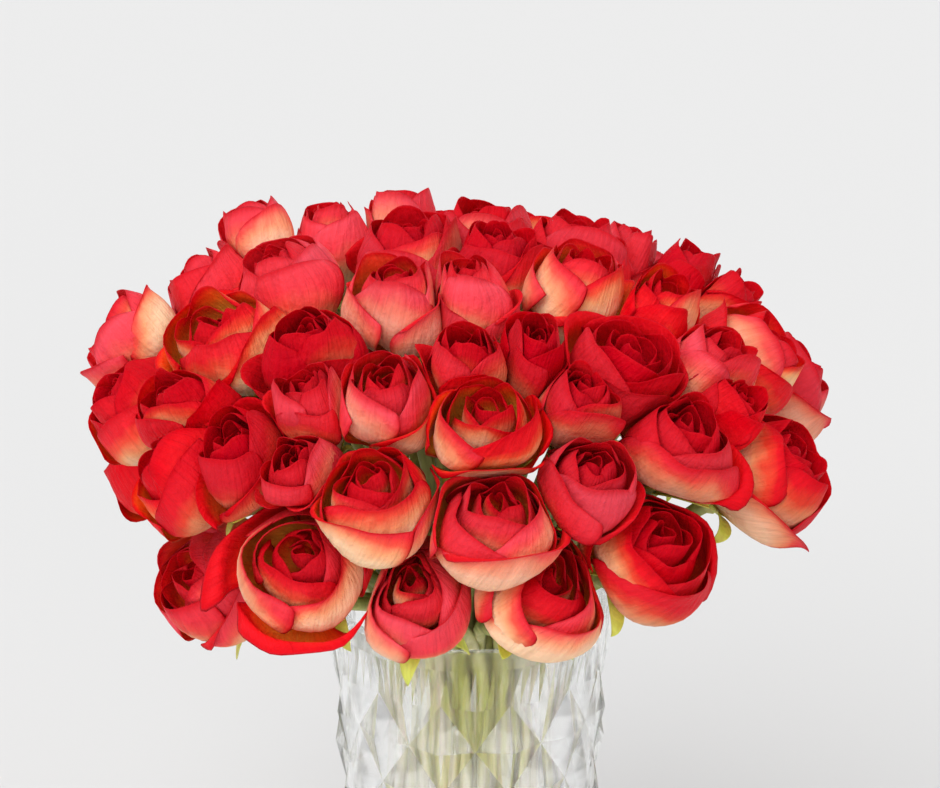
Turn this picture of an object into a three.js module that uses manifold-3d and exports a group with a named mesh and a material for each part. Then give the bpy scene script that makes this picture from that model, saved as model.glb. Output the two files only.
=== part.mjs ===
// A vase of roses: a tall pressed-glass vase with a diamond pattern, filled with a tight round bouquet.
// Millimetres, +Z up, the front towards -Y. The origin is the middle of the vase's foot, on the table.

import * as THREE from "three";
import { mergeVertices } from "three/addons/utils/BufferGeometryUtils.js";
import Module from "manifold-3d";

const wasm = await Module();
wasm.setup();

const DEGREE = Math.PI / 180;
const FULL_TURN = 2 * Math.PI;

// The vase.
const VASE_HEIGHT = 226;
const RIM_RADIUS = 56.5;
const FOOT_RADIUS = 47;
const WALL = 4.5;
const BASE_THICKNESS = 12;
const LIP_ROUND = 1.4;
const BAND_HEIGHT = 8; // the smooth band under the lip
const DIAMOND_COLUMNS = 12;
const DIAMOND_PITCH = 20; // from one row of crossings to the next
const DIAMOND_TOP = VASE_HEIGHT - 5; // the rows are counted down from here
const DIAMOND_ROWS = 10;
const DIAMOND_TURN = 2.4 * DEGREE;
const GROOVE_DEPTH = 1.5;
const FACET_PROUD = 1.2;
const FOOT_BAND_TOP = 9;
const FOOT_ROUND = 1.5;

// The dome that the hearts of the roses lie on, set from the middle of the rim.
const DOME_CENTRE = new THREE.Vector3(-4, 0, VASE_HEIGHT + 77);
const DOME_SIZE = new THREE.Vector3(147, 124, 82); // its half width, half depth and half height
const STEMS_MEET = new THREE.Vector3(-4, 0, VASE_HEIGHT - 8); // what the roses point away from
const FRONT_RISE = 27 * DEGREE; // how much more upright than that a rose stands at the very front or back
const CLEAR_OF_RIM = 3;

// The photograph's view, which turns a rose's pixel into its place on the dome.
const VIEW_FALL = 20.4 * DEGREE;
const VIEW_DISTANCE = 1101;
const VIEW_FOCAL = 2742; // pixels
const VIEW_MIDDLE = { across: 471, down: 394 };
const RIM_PIXEL_DOWN = 592;
const RAISED = 3; // how much higher the hearts are set than their pixels say: petals hang below them

// The roses that the photograph shows, from its top down. Each row holds the pixel across and down of the
// rose's heart, its radius in millimetres, how far it is open from 0 to 1, and the degrees that it nods
// down and swings to the right of straight out. The two in BEHIND are just over the top.
const SEEN = [
  [241, 204, 19, 0.2, 0, 0],
  [390, 187, 20, 0.5, 0, 0],
  [325, 201, 22, 0.4, 0, 0],
  [262, 252, 22, 0.3, 0, 0],
  [500, 222, 23, 0.6, 0, 0],
  [592, 250, 22, 0.5, 0, 0],
  [708, 250, 20, 0.5, 0, 0],
  [678, 282, 18, 0.3, 0, 0],
  [757, 281, 19, 0.4, 5, 0],
  [398, 262, 21, 0.4, 0, 0],
  [465, 256, 19, 0.1, 0, 0],
  [178, 265, 23, 0.5, 8, 0],
  [94, 323, 21, 0.5, 10, 0],
  [203, 312, 24, 0.6, 0, 15],
  [98, 384, 20, 0.4, 4, 0],
  [643, 338, 25, 1.0, 0, 0],
  [738, 340, 20, 0.3, 0, 0],
  [795, 338, 20, 0.4, 10, 0],
  [475, 335, 20, 0.4, 0, 0],
  [540, 328, 18, 0.3, 0, 0],
  [300, 322, 20, 0.3, 0, 0],
  [303, 372, 19, 0.3, 0, 0],
  [382, 366, 22, 0.3, 0, 0],
  [490, 392, 24, 0.8, 0, 0],
  [592, 372, 20, 0.4, 0, 0],
  [697, 410, 24, 0.5, 0, 0],
  [755, 385, 19, 0.3, 0, 0],
  [158, 384, 20, 0.3, 0, 0],
  [222, 428, 20, 0.4, 0, 0],
  [140, 456, 22, 0.3, 20, -20],
  [288, 446, 20, 0.3, 4, 0],
  [368, 463, 24, 0.6, -4, 0],
  [500, 488, 24, 0.6, -4, 0],
  [600, 452, 22, 0.3, 0, 0],
  [811, 444, 24, 0.5, 4, 10],
  [675, 527, 25, 0.6, 7, 8],
  [174, 572, 22, 0.3, 3, 0],
  [302, 543, 26, 0.5, 6, 14],
  [410, 573, 21, 0.5, 4, 0],
  [563, 565, 24, 0.7, 5, 16],
];
const BEHIND = [
  [550, 213, 20, 0.5, 0, 0],
  [648, 225, 18, 0.4, 0, 0],
];
const BACK_ROOM = 35; // least distance between the hearts of two roses at the back
const BACK_EDGE = -12; // the front list ends about here, measured towards the back
const BACK_LOWEST = -16 * DEGREE; // lowest place on the dome for them
const SIDE_LOWEST = 4 * DEGREE; // the same at the sides, which end about SIDE_END towards the back
const SIDE_END = 30;
const BACK_STEPS = 1400; // places tried, in one spiral from the top of the dome to its foot
const JOINED_ROSES = 3;
const JOIN_ROOM = 56; // most that the hearts of two joined roses are apart
const SIDE_BY_SIDE = 1.6; // how much more a difference in height counts for that
const GOLDEN_TURN = 137.508 * DEGREE;
const BACK_SHAPE = [24, 0.45, 0, 0];

const FULLNESS = 1.15; // petals reach this much past a rose's listed radius where they have room

// A rose. Heights are shares of its own height, radii shares of its own radius.
const ROSE_HEIGHT = 46;
const BASE_CUP = { petals: 5, radius: 0.6, height: 0.13 };
const BELLY = { petals: 5, radius: 0.98, height: 0.42, pointed: false };
const OUTER_LIP = { petals: 5, radius: 0.95, height: 0.88, pointed: true };
const OUTER_VALLEY = { count: 10, radius: 0.64, height: 0.72 };
const MIDDLE_LIP = { petals: 4, radius: 0.56, height: 0.94, pointed: true };
const INNER_VALLEY = { count: 4, radius: 0.36, height: 0.8 };
const INNER_LIP = { petals: 3, radius: 0.22, height: 1, pointed: false };
const PIT_HEIGHT = 0.82;
const PETAL_PLAY = 0.1; // how much one petal differs from the next
const PETAL_STEP = 0.15; // how far a petal's leading edge stands over the edge that it covers
const PETAL_SEAM = 0.1; // of a petal's width, from its edge to the seam
const TIP_RISE = 0.07;
const OPEN_FLARE = 0.28; // how much wider and lower the outer lip of a full-blown rose is
const OPEN_DROP = 0.16;

// Roses press each other flat: each keeps to its own side of a wall half-way to every neighbour.
const SITE_HEIGHT = 0.5;
const NEIGHBOUR_REACH = 120;
const PETAL_REACH = 1.12; // how far the outermost petals reach, in radii
const SOFT_FROM = 0.75; // of the way to a wall, where the petals begin to give
const FIRM_FROM = 0.9;
const ROSE_GAP = 0.2;
const JOIN_OVERLAP = 12; // how far back the wall between joined roses stands, so that they meet

// Stems and sepals.
const STEM_RADIUS = 2.8;
const STEM_SIDES = 3;
const STEM_CLEARANCE = 0.8; // between a stem and the petals that it passes through
const STEM_STEPS = { upright: 3, bent: 5 }; // straight lengths above the waist
const BENT_BELOW = VASE_HEIGHT + 62; // a rose whose foot is lower has a bent stem
const STEM_CLIMB = 62; // how far a stem climbs from the waist before it leans out over the rim
const STEM_HOLD = 0.3; // how far a stem keeps its direction under the rose before it bends
const SEPALS = 5;
const SEPAL_LENGTH = 13;
const SEPAL_NOTCH = 4.5;
const SEPAL_THICKNESS = 3.4;
const SEPAL_DROOP = 3;
const SEAT_GAP = 0.6;
const WAIST_HEIGHT = VASE_HEIGHT - 42;
const WAIST_RADIUS = 30;
const WAIST_FILL = 3; // stems in the innermost ring
const FLOOR_SPREAD = 1.25; // the stems' spread on the vase's floor against the waist
const WAIST_CORE = { radius: 34, height: 10, sides: 16 }; // the tight middle of the bundle

const GLASS = new THREE.MeshStandardMaterial({ color: 0xe9eeec, roughness: 0.06, metalness: 0 });
const GREEN = new THREE.MeshStandardMaterial({ color: 0x8f9a3a, roughness: 0.6, metalness: 0 });
const PETAL_COLOURS = [0xd92a2e, 0xe2483f, 0xc8142a, 0xe86a4c];

const scene = new THREE.Group();

function seededRandom(seed) {
  let state = seed;
  return () => {
    state = (state * 1664525 + 1013904223) % 4294967296;
    return state / 4294967296;
  };
}

// A point on a ring about an axis, kept with its turn so that rings of unequal counts can be joined.
function ringPoint(turn, radius, height) {
  const wrapped = ((turn % FULL_TURN) + FULL_TURN) % FULL_TURN;
  const point = new THREE.Vector3(radius * Math.cos(wrapped), radius * Math.sin(wrapped), height);
  return { turn: wrapped, point };
}

function evenRing(count, start, radius, height) {
  const ring = [];
  for (let k = 0; k < count; k += 1) {
    ring.push(ringPoint(start + (k / count) * FULL_TURN, radius, height));
  }
  return ring.sort((a, b) => a.turn - b.turn);
}

// A closed skin over a pile of rings, from the pole below to the pole above.
function skin(rings) {
  const positions = [];
  const faces = [];
  const starts = [];
  for (const ring of rings) {
    starts.push(positions.length / 3);
    ring.forEach(({ point }) => positions.push(point.x, point.y, point.z));
  }
  for (let row = 0; row + 1 < rings.length; row += 1) {
    joinRings(faces, rings[row], starts[row], rings[row + 1], starts[row + 1]);
  }
  const geometry = new THREE.BufferGeometry();
  geometry.setAttribute("position", new THREE.Float32BufferAttribute(positions, 3));
  geometry.setIndex(faces);
  return geometry;
}

function joinRings(faces, lower, lowerStart, upper, upperStart) {
  const turnAt = (ring, k) => ring[k % ring.length].turn + (k >= ring.length ? FULL_TURN : 0);
  const lowerCount = lower.length > 1 ? lower.length : 0;
  const upperCount = upper.length > 1 ? upper.length : 0;
  let i = 0;
  let j = 0;
  while (i < lowerCount || j < upperCount) {
    const nextLower = i < lowerCount ? turnAt(lower, i + 1) : Infinity;
    const nextUpper = j < upperCount ? turnAt(upper, j + 1) : Infinity;
    const a = lowerStart + (i % lower.length);
    const b = upperStart + (j % upper.length);
    if (nextLower <= nextUpper) {
      i += 1;
      faces.push(a, lowerStart + (i % lower.length), b);
    } else {
      j += 1;
      faces.push(a, upperStart + (j % upper.length), b);
    }
  }
}

function addPiece(name, geometry, material) {
  const mesh = new THREE.Mesh(geometry, material);
  mesh.name = name;
  scene.add(mesh);
}

// Booleans: three.js geometry in, one closed geometry out.
function toSolid(geometry) {
  const bare = new THREE.BufferGeometry();
  bare.setAttribute("position", geometry.getAttribute("position").clone());
  if (geometry.index) {
    bare.setIndex(geometry.index.clone());
  }
  const merged = mergeVertices(bare, 1e-4);
  const mesh = new wasm.Mesh({
    numProp: 3,
    vertProperties: new Float32Array(merged.getAttribute("position").array),
    triVerts: new Uint32Array(merged.index.array),
  });
  mesh.merge();
  return new wasm.Manifold(mesh);
}

// What a cut or a join seals inside is filled, and loose scraps go.
function largestBody(solid) {
  const pieces = solid.decompose();
  pieces.sort((one, other) => other.volume() - one.volume());
  const mesh = pieces[0].getMesh();
  const geometry = new THREE.BufferGeometry();
  geometry.setAttribute("position", new THREE.Float32BufferAttribute(mesh.vertProperties, 3));
  geometry.setIndex(Array.from(mesh.triVerts));
  return geometry;
}

function fuse(geometries) {
  return largestBody(wasm.Manifold.union(geometries.map(toSolid)));
}

// ---- The vase: a tapered glass, its outside pressed in rows of four-sided studs between grooves ----

function wallRadius(height) {
  return FOOT_RADIUS + ((RIM_RADIUS - FOOT_RADIUS) * height) / VASE_HEIGHT;
}

const VASE_SIDES = 2 * DIAMOND_COLUMNS;

function vaseRing(radius, height) {
  return evenRing(VASE_SIDES, DIAMOND_TURN, radius, height);
}

// On each row the grooves cross at every second column, and a stud stands proud at the others.
function diamondRing(row) {
  const height = DIAMOND_TOP - row * DIAMOND_PITCH;
  const ring = [];
  for (let column = 0; column < VASE_SIDES; column += 1) {
    const crossing = (column + row) % 2 === 0;
    const radius = wallRadius(height) + (crossing ? -GROOVE_DEPTH : FACET_PROUD);
    ring.push(ringPoint(DIAMOND_TURN + (column / VASE_SIDES) * FULL_TURN, radius, height));
  }
  return ring;
}

// Between two rows each four-cornered field is split along its groove, from crossing to crossing.
function diamondFaces(faces, row, lowerStart, upperStart) {
  for (let column = 0; column < VASE_SIDES; column += 1) {
    const next = (column + 1) % VASE_SIDES;
    const [a, b] = [lowerStart + column, lowerStart + next];
    const [c, d] = [upperStart + next, upperStart + column];
    const crossingBelow = (column + row) % 2 === 0;
    if (crossingBelow) {
      faces.push(a, b, c, a, c, d);
    } else {
      faces.push(a, b, d, b, c, d);
    }
  }
}

function vaseGeometry() {
  const rings = [
    [ringPoint(0, 0, 0)],
    vaseRing(wallRadius(0) - FOOT_ROUND, 0),
    vaseRing(wallRadius(0), FOOT_ROUND),
    vaseRing(wallRadius(FOOT_BAND_TOP), FOOT_BAND_TOP),
  ];
  const diamondStart = rings.length;
  for (let row = DIAMOND_ROWS; row >= 1; row -= 1) {
    rings.push(diamondRing(row));
  }
  const top = VASE_HEIGHT;
  rings.push(vaseRing(wallRadius(top - BAND_HEIGHT), top - BAND_HEIGHT));
  rings.push(vaseRing(RIM_RADIUS, top - LIP_ROUND));
  rings.push(vaseRing(RIM_RADIUS - LIP_ROUND, top));
  rings.push(vaseRing(RIM_RADIUS - WALL + LIP_ROUND, top));
  rings.push(vaseRing(RIM_RADIUS - WALL, top - LIP_ROUND));
  rings.push(vaseRing(wallRadius(BASE_THICKNESS) - WALL, BASE_THICKNESS));
  rings.push([ringPoint(0, 0, BASE_THICKNESS)]);

  const positions = [];
  const starts = [];
  for (const ring of rings) {
    starts.push(positions.length / 3);
    ring.forEach(({ point }) => positions.push(point.x, point.y, point.z));
  }
  const faces = [];
  for (let k = 0; k + 1 < rings.length; k += 1) {
    const withinDiamonds = k >= diamondStart && k + 1 < diamondStart + DIAMOND_ROWS;
    if (withinDiamonds) {
      diamondFaces(faces, DIAMOND_ROWS - (k - diamondStart), starts[k], starts[k + 1]);
    } else {
      joinRings(faces, rings[k], starts[k], rings[k + 1], starts[k + 1]);
    }
  }
  const geometry = new THREE.BufferGeometry();
  geometry.setAttribute("position", new THREE.Float32BufferAttribute(positions, 3));
  geometry.setIndex(faces);
  return geometry;
}

// ---- Where each rose sits and points ----

// Where the line of sight through a pixel meets the dome, on its near side or on its far side.
function onDome(across, down, farSide) {
  const forward = new THREE.Vector3(0, Math.cos(VIEW_FALL), -Math.sin(VIEW_FALL));
  const upward = new THREE.Vector3(0, Math.sin(VIEW_FALL), Math.cos(VIEW_FALL));
  const rimDrop = (RIM_PIXEL_DOWN - VIEW_MIDDLE.down) / VIEW_FOCAL;
  const eye = new THREE.Vector3(0, 0, VASE_HEIGHT + RAISED)
    .addScaledVector(forward, -VIEW_DISTANCE)
    .addScaledVector(upward, rimDrop * VIEW_DISTANCE);
  const sight = forward.clone().addScaledVector(upward, -(down - VIEW_MIDDLE.down) / VIEW_FOCAL);
  sight.x += (across - VIEW_MIDDLE.across) / VIEW_FOCAL;
  const start = eye.clone().sub(DOME_CENTRE).divide(DOME_SIZE);
  const step = sight.clone().divide(DOME_SIZE);
  const a = step.dot(step);
  const b = start.dot(step);
  const c = start.dot(start) - 1;
  const root = Math.sqrt(Math.max(b * b - a * c, 0));
  return eye.addScaledVector(sight, (-b + (farSide ? root : -root)) / a);
}

function makeRose(heart, radius, open, nod, swing) {
  const out = heart.clone().sub(STEMS_MEET);
  const rise = (FRONT_RISE * Math.abs(out.y)) / out.length();
  const lift = Math.atan2(out.z, Math.hypot(out.x, out.y)) + rise - nod * DEGREE;
  const turn = Math.atan2(out.x, -out.y) + swing * DEGREE;
  const level = Math.cos(lift);
  const axis = new THREE.Vector3(level * Math.sin(turn), -level * Math.cos(turn), Math.sin(lift));
  const base = heart.clone().addScaledVector(axis, -ROSE_HEIGHT);
  const site = base.clone().addScaledVector(axis, ROSE_HEIGHT * SITE_HEIGHT);
  return { heart, axis, base, site, radius: radius * FULLNESS, open, group: null, walls: [], rimWall: null };
}

function seenRoses(rows, farSide) {
  return rows.map(([across, down, ...shape]) => makeRose(onDome(across, down, farSide), ...shape));
}

// The rest of the dome is walked down in a spiral, and a rose is set wherever there is room.
function backRoses(front) {
  const back = [];
  for (let step = 0; step < BACK_STEPS; step += 1) {
    const height = 1 - (2 * (step + 0.5)) / BACK_STEPS;
    const width = Math.sqrt(1 - height * height);
    const turn = step * GOLDEN_TURN;
    const heart = new THREE.Vector3(width * Math.sin(turn), -width * Math.cos(turn), height);
    heart.multiply(DOME_SIZE).add(DOME_CENTRE);
    const roomy = [...front, ...back].every((rose) => rose.heart.distanceTo(heart) > BACK_ROOM);
    const lowest = heart.y > SIDE_END ? BACK_LOWEST : SIDE_LOWEST;
    if (roomy && heart.y > BACK_EDGE && Math.asin(height) > lowest) {
      back.push(makeRose(heart, ...BACK_SHAPE));
    }
  }
  return back;
}

// The back roses are joined by threes, rather side by side than one above the other. The one with the
// fewest neighbours left chooses first.
function groupBack(back) {
  const groups = [];
  const apart = (a, b) => {
    const away = a.heart.clone().sub(b.heart);
    return Math.hypot(away.x, away.y, SIDE_BY_SIDE * away.z);
  };
  const free = [...back];
  const near = (rose) => free.filter((other) => other !== rose && apart(other, rose) < JOIN_ROOM);
  while (free.length > 0) {
    free.sort((a, b) => near(a).length - near(b).length);
    const group = [free.shift()];
    while (group.length < JOINED_ROSES) {
      const fromGroup = (rose) => Math.min(...group.map((member) => apart(member, rose)));
      free.sort((a, b) => fromGroup(a) - fromGroup(b));
      if (free.length === 0 || fromGroup(free[0]) > JOIN_ROOM) {
        break;
      }
      group.push(free.shift());
    }
    group.forEach((rose) => { rose.group = group; });
    groups.push(group);
  }
  return groups;
}

function buildWalls(roses) {
  for (const rose of roses) {
    for (const other of roses) {
      const apart = rose.site.distanceTo(other.site);
      if (other !== rose && apart < NEIGHBOUR_REACH) {
        const normal = other.site.clone().sub(rose.site).divideScalar(apart);
        const half = (apart * apart + rose.radius ** 2 - other.radius ** 2) / (2 * apart);
        const joined = rose.group !== null && rose.group === other.group;
        rose.walls.push({ normal, distance: half + (joined ? JOIN_OVERLAP : -ROSE_GAP / 2) });
      }
    }
    const down = new THREE.Vector3(0, 0, -1);
    rose.rimWall = { normal: down, distance: rose.site.z - VASE_HEIGHT - CLEAR_OF_RIM };
  }
}

// 0 to 1 on the way to the nearest wall, easing off so that nothing reaches it.
function give(share, from) {
  return share < from ? share : 1 - (1 - from) * Math.exp(-(share - from) / (1 - from));
}

// Presses a point of a rose back inside its walls. All the petals on one side give way in proportion, so
// that they stay in their order, and then what is still too near a wall moves towards the rose's middle.
function press(rose, point, walls) {
  const offset = point.clone().sub(rose.site);
  const along = offset.dot(rose.axis);
  const side = offset.clone().addScaledVector(rose.axis, -along);
  const reach = side.clone().setLength(rose.radius * PETAL_REACH);
  let sideShare = 0;
  for (const { normal, distance } of walls) {
    const room = Math.max(distance - along * normal.dot(rose.axis), 0.5 * distance);
    sideShare = Math.max(sideShare, reach.dot(normal) / room);
  }
  if (sideShare > 0) {
    side.multiplyScalar(give(sideShare, SOFT_FROM) / sideShare);
  }
  const pressed = side.addScaledVector(rose.axis, along);
  let share = 0;
  for (const { normal, distance } of walls) {
    share = Math.max(share, pressed.dot(normal) / distance);
  }
  if (share > 0) {
    pressed.multiplyScalar(give(share, FIRM_FROM) / share);
  }
  return pressed.add(rose.site);
}

// ---- A rose: petals in three rounds, each overlapping the next, about a hollow heart ----

// A petal's leading edge lies in front, its other edge is tucked behind, and its middle may be pointed.
function petalRing({ petals, radius, height, pointed }, start, play, tip) {
  const ring = [];
  for (let k = 0; k < petals; k += 1) {
    const width = FULL_TURN / petals;
    const own = radius * (1 + play[k]);
    const turn = start + k * width;
    const droop = tip * 0.5;
    ring.push(ringPoint(turn + PETAL_SEAM * width, own * (1 + PETAL_STEP / 2), height - droop));
    if (pointed) {
      ring.push(ringPoint(turn + 0.5 * width, own, height + tip));
    }
    ring.push(ringPoint(turn + (1 - PETAL_SEAM) * width, own * (1 - PETAL_STEP / 2), height - droop));
  }
  return ring.sort((a, b) => a.turn - b.turn);
}

function roseGeometry(rose, random) {
  const start = random() * FULL_TURN;
  const draw = (count) => Array.from({ length: count }, () => (random() - 0.5) * 2 * PETAL_PLAY);
  const outer = draw(BELLY.petals);
  const middle = draw(MIDDLE_LIP.petals);
  const inner = draw(INNER_LIP.petals);
  const still = new Array(BASE_CUP.petals).fill(0);
  const flare = 1 + OPEN_FLARE * (rose.open - 0.3);
  const lip = {
    ...OUTER_LIP,
    radius: OUTER_LIP.radius * flare,
    height: OUTER_LIP.height - OPEN_DROP * (rose.open - 0.3),
  };
  const halfPetal = FULL_TURN / MIDDLE_LIP.petals / 2;
  const rings = [
    [ringPoint(0, 0, 0)],
    evenRing(BASE_CUP.petals, start + FULL_TURN / BASE_CUP.petals / 2, BASE_CUP.radius, BASE_CUP.height),
    petalRing(BELLY, start, outer, 0),
    petalRing(lip, start, outer, TIP_RISE),
    evenRing(OUTER_VALLEY.count, start, OUTER_VALLEY.radius, OUTER_VALLEY.height),
    petalRing(MIDDLE_LIP, start + halfPetal, middle, TIP_RISE / 2),
    evenRing(INNER_VALLEY.count, start + halfPetal, INNER_VALLEY.radius, INNER_VALLEY.height),
    petalRing(INNER_LIP, start, inner, 0),
    [ringPoint(0, 0, PIT_HEIGHT)],
  ];
  const side = sideOf(rose.axis);
  const front = rose.axis.clone().cross(side);
  const walls = [...rose.walls, rose.rimWall];
  for (const ring of rings) {
    for (const spot of ring) {
      const { x, y, z } = spot.point;
      const place = rose.base.clone()
        .addScaledVector(side, x * rose.radius)
        .addScaledVector(front, y * rose.radius)
        .addScaledVector(rose.axis, z * ROSE_HEIGHT);
      spot.point = press(rose, place, walls);
    }
  }
  rose.seat = rings[0][0].point;
  return skin(rings);
}

// A direction square to an axis.
function sideOf(axis) {
  const level = new THREE.Vector3(-axis.y, axis.x, 0);
  return level.length() < 0.05 ? new THREE.Vector3(1, 0, 0) : level.normalize();
}

// ---- Stems with their sepals ----

// The corners about a stem's middle, square to its run.
function stemRing(centre, run, side, radius) {
  const across = side.clone().addScaledVector(run, -side.dot(run)).normalize();
  const over = run.clone().cross(across);
  const ring = evenRing(STEM_SIDES, FULL_TURN / STEM_SIDES / 2, radius, 0);
  for (const spot of ring) {
    const { x, y } = spot.point;
    spot.point = centre.clone().addScaledVector(across, x).addScaledVector(over, y);
  }
  return ring;
}

// Five pointed sepals spread from the stem's top under the rose.
function sepalRing(centre, rose, side) {
  const over = rose.axis.clone().cross(side);
  const ring = evenRing(2 * SEPALS, 0, 1, 0);
  ring.forEach((spot, k) => {
    const tip = k % 2 === 0;
    const length = tip ? SEPAL_LENGTH : SEPAL_NOTCH;
    const { x, y } = spot.point;
    const place = centre.clone()
      .addScaledVector(side, x * length)
      .addScaledVector(over, y * length)
      .addScaledVector(rose.axis, tip ? -SEPAL_DROOP : -SEPAL_THICKNESS / 2);
    spot.point = press(rose, place, rose.walls);
  });
  return ring;
}

// The stems stand in rings at the waist: outer roses in the outer rings, each on its own side.
function waistPlaces(roses) {
  const outward = (rose) => Math.hypot(rose.seat.x - DOME_CENTRE.x, rose.seat.y);
  const sideways = (rose) => Math.atan2(rose.seat.y, rose.seat.x - DOME_CENTRE.x);
  const order = [...roses].sort((a, b) => outward(a) - outward(b));
  const rings = Math.ceil(Math.sqrt(order.length / WAIST_FILL));
  let taken = 0;
  for (let ring = 1; ring <= rings; ring += 1) {
    const upTo = Math.round((order.length * ring * ring) / (rings * rings));
    const row = order.slice(taken, upTo).sort((a, b) => sideways(a) - sideways(b));
    const radius = WAIST_RADIUS * ((ring - 0.5) / (rings - 0.5));
    const first = row.reduce((sum, rose, k) => sum + sideways(rose) - (k * FULL_TURN) / row.length, 0);
    row.forEach((rose, k) => {
      const turn = first / row.length + (k * FULL_TURN) / row.length;
      rose.waist = new THREE.Vector3(radius * Math.cos(turn), radius * Math.sin(turn), WAIST_HEIGHT);
    });
    taken = upTo;
  }
}

// One stem from the vase's floor through the waist and up to the rose, ending in its sepals.
function stemGeometry(rose, radius = STEM_RADIUS) {
  const top = rose.seat.clone().addScaledVector(rose.axis, -SEAT_GAP);
  const neck = top.clone().addScaledVector(rose.axis, -SEPAL_THICKNESS);
  const floor = rose.waist.clone().multiply(new THREE.Vector3(FLOOR_SPREAD, FLOOR_SPREAD, 0));
  floor.z = BASE_THICKNESS + SEAT_GAP;
  const upward = rose.waist.clone().sub(floor).normalize();
  const overRim = (neck.z - VASE_HEIGHT - 2 * STEM_RADIUS) / Math.max(rose.axis.z, 0.1);
  const hold = Math.min(neck.distanceTo(rose.waist) * STEM_HOLD, overRim);
  const bend = new THREE.CubicBezierCurve3(
    rose.waist,
    rose.waist.clone().addScaledVector(upward, STEM_CLIMB),
    neck.clone().addScaledVector(rose.axis, -hold),
    neck,
  );
  const steps = neck.z > BENT_BELOW ? STEM_STEPS.upright : STEM_STEPS.bent;
  const path = [floor];
  for (let step = 0; step <= steps; step += 1) {
    path.push(bend.getPoint(Math.sin(((step / steps) * Math.PI) / 2)));
  }
  const side = sideOf(rose.axis);
  const rings = path.map((point, k) => {
    const before = path[Math.max(k - 1, 0)];
    const after = path[Math.min(k + 1, path.length - 1)];
    const run = k === 0 ? new THREE.Vector3(0, 0, 1) : after.clone().sub(before).normalize();
    return stemRing(point, run, side, radius);
  });
  const end = (point) => [{ turn: 0, point }];
  return skin([end(floor), ...rings, sepalRing(top, rose, side), end(top)]);
}

function waistCore() {
  const { radius, height, sides } = WAIST_CORE;
  const half = height / 2;
  return skin([
    [ringPoint(0, 0, WAIST_HEIGHT - half)],
    evenRing(sides, 0, radius, WAIST_HEIGHT - half),
    evenRing(sides, 0, radius, WAIST_HEIGHT + half),
    [ringPoint(0, 0, WAIST_HEIGHT + half)],
  ]);
}

// Where stems and sepals pass through a rose, its petals part round them.
function partRoundStems(bloom, passing) {
  const whole = toSolid(bloom);
  let parted = whole;
  for (const space of passing) {
    if (space.intersect(whole).volume() > 0) {
      parted = parted.subtract(space);
    }
  }
  return parted === whole ? bloom : largestBody(parted);
}

// ---- The whole bouquet ----

const front = [...seenRoses(SEEN, false), ...seenRoses(BEHIND, true)];
const back = backRoses(front);
const backGroups = groupBack(back);
const roses = [...front, ...back];
buildWalls(roses);

const random = seededRandom(9);
const blooms = roses.map((rose) => roseGeometry(rose, random));
waistPlaces(roses);
const stemRoom = STEM_RADIUS + STEM_CLEARANCE;
const passing = roses.map((rose) => toSolid(stemGeometry(rose, stemRoom)));
const bloomOf = new Map(roses.map((rose, k) => [rose, partRoundStems(blooms[k], passing)]));

addPiece("vase", vaseGeometry(), GLASS);
addPiece("stems_and_sepals", fuse([waistCore(), ...roses.map((rose) => stemGeometry(rose))]), GREEN);

function petalMaterial(k) {
  const color = PETAL_COLOURS[k % PETAL_COLOURS.length];
  return new THREE.MeshStandardMaterial({ color, roughness: 0.75, metalness: 0 });
}

front.forEach((rose, k) => {
  const name = `rose_${String(k + 1).padStart(2, "0")}`;
  addPiece(name, bloomOf.get(rose), petalMaterial(k));
});
backGroups.forEach((group, k) => {
  const name = `back_roses_${String(k + 1).padStart(2, "0")}`;
  const joined = group.map((rose) => bloomOf.get(rose));
  addPiece(name, group.length > 1 ? fuse(joined) : joined[0], petalMaterial(k));
});

export default scene;
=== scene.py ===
import math
import random

import bmesh
import bpy
import numpy as np
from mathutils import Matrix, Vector, noise


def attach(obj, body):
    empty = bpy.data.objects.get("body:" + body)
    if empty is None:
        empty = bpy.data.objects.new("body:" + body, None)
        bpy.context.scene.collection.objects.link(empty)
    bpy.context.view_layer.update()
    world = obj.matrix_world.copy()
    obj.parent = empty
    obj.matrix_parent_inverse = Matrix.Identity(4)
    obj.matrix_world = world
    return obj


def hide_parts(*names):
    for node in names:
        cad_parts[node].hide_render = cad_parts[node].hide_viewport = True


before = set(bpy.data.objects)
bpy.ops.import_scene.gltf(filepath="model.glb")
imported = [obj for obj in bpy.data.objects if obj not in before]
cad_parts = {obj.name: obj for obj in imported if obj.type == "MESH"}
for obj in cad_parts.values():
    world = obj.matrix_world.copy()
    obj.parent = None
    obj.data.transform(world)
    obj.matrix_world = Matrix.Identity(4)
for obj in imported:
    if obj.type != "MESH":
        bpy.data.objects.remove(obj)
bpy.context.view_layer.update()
scene = bpy.context.scene

# --- Camera ---
# A long lens a little above the rim looks down at the bouquet. Pixels are those of a picture 940 wide, and
# lengths are in millimetres. The vase stands on the origin, its rim's middle at RIM_PIXEL_DOWN.
VIEW_FALL = math.radians(20.4)
VIEW_DISTANCE = 1101.0
VIEW_FOCAL = 2742.0
VIEW_MIDDLE = (471.0, 394.0)
RIM_PIXEL_DOWN = 592.0
VASE_HEIGHT = 226.0
forward = np.array([0, math.cos(VIEW_FALL), -math.sin(VIEW_FALL)])
upward = np.array([0, math.sin(VIEW_FALL), math.cos(VIEW_FALL)])
rim_drop = (RIM_PIXEL_DOWN - VIEW_MIDDLE[1]) / VIEW_FOCAL
eye = np.array([0, 0, VASE_HEIGHT]) - VIEW_DISTANCE * forward + rim_drop * VIEW_DISTANCE * upward

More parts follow.
